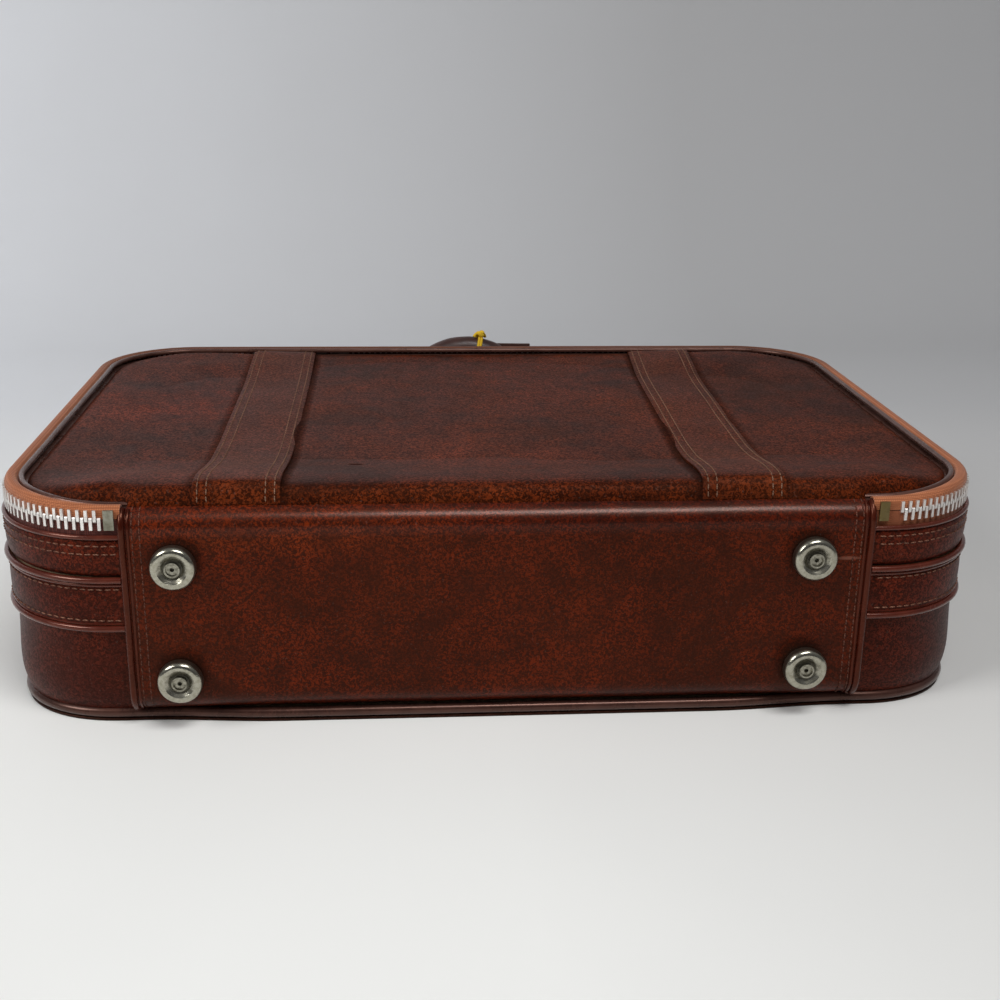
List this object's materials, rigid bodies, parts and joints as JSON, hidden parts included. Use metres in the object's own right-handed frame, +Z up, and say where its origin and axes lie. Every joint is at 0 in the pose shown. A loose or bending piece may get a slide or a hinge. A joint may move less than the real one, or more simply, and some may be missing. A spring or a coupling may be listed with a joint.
{
  "type": "zip-round travel case",
  "caption": "Soft-sided zip-round suitcase in vinyl over board, with a hinged padded lid, piped bands, metal zip and sliders, metal feet on the hinge side and a pivoting arched handle.",
  "frame": {"origin": "centre of the flat back cover that the case lies on", "axes": "+X along the hinge to the right, +Y from the hinge side to the handle side, +Z up through the lid"},
  "size_m": [0.4632, 0.3517, 0.1144],
  "materials": {
    "vinyl": "grained, satin, marbled red-brown",
    "piping": "smooth, glossy red-brown",
    "board": "raw fibreboard",
    "nickel": "nickel plate, aged, softly bright",
    "lining": "plain woven lining",
    "tan_tape": "woven zip tape, orange tan",
    "dark_tape": "woven zip tape, dark brown",
    "webbing": "woven webbing",
    "wadding": "soft wadding",
    "handle_leather": "dark brown, grained",
    "yellow_cord": "twisted cord"
  },
  "bodies": {
    "case": {"back_cover": "vinyl", "side_cover": "vinyl", "belt_band": "vinyl", "zip_band": "vinyl", "hinge_panel": "vinyl", "back_welt": "piping", "belt_piping_lower": "piping", "belt_piping_upper": "piping", "zip_welt_lower": "piping", "hinge_piping_left": "piping", "hinge_piping_right": "piping", "back_board": "board", "side_frame": "board", "zip_teeth_lower": "nickel", "zip_end_stops": "nickel", "feet": "nickel", "foot_rivets": "nickel", "foot_washers": "nickel", "tie_buckle": "nickel", "handle_brackets": "nickel", "bracket_rivets": "nickel", "handle_pins": "nickel", "handle_backing_plate": "nickel", "tray_lining": "lining", "zip_tape_lower": "dark_tape", "tie_strap_left": "webbing", "tie_strap_right": "webbing"},
    "lid": {"lid_lining": "lining", "lid_pocket": "lining", "lid_board": "board", "lid_pad": "wadding", "lid_cover": "vinyl", "lid_strap_left": "vinyl", "lid_strap_right": "vinyl", "lid_welt": "piping", "zip_tape_upper": "tan_tape", "zip_teeth_upper": "nickel", "hinge_strip": "vinyl", "hinge_piping_ends": "piping"},
    "handle": {"handle_eyes": "nickel", "handle_grip": "handle_leather", "tag_tie": "yellow_cord", "tag_strap": "handle_leather"},
    "slider_left": {"slider_left": "nickel"},
    "slider_right": {"slider_right": "nickel"},
    "pull_left": {"pull_left": "nickel"},
    "pull_right": {"pull_right": "nickel"}
  },
  "joints": [
    {"name": "lid_hinge", "type": "hinge", "parent": "case", "child": "lid", "pos_m": [0, -0.1622, 0.0999], "axis": [1, 0, 0], "range_deg": [0, 165]},
    {"name": "handle_pivot", "type": "hinge", "parent": "case", "child": "handle", "pos_m": [0, 0.1754, 0.0602], "axis": [-1, 0, 0], "range_deg": [0, 180]},
    {"name": "left_slider_run", "type": "slide", "parent": "case", "child": "slider_left", "axis": [-1, 0, 0], "range_m": [0, 0.065]},
    {"name": "right_slider_run", "type": "slide", "parent": "case", "child": "slider_right", "axis": [1, 0, 0], "range_m": [0, 0.22]},
    {"name": "left_pull_swing", "type": "hinge", "parent": "slider_left", "child": "pull_left", "pos_m": [-0.0969, 0.1623, 0.0999], "axis": [0, 0, -1], "range_deg": [0, 150]},
    {"name": "right_pull_swing", "type": "hinge", "parent": "slider_right", "child": "pull_right", "pos_m": [-0.0831, 0.1623, 0.0999], "axis": [0, 0, 1], "range_deg": [0, 150]}
  ]
}
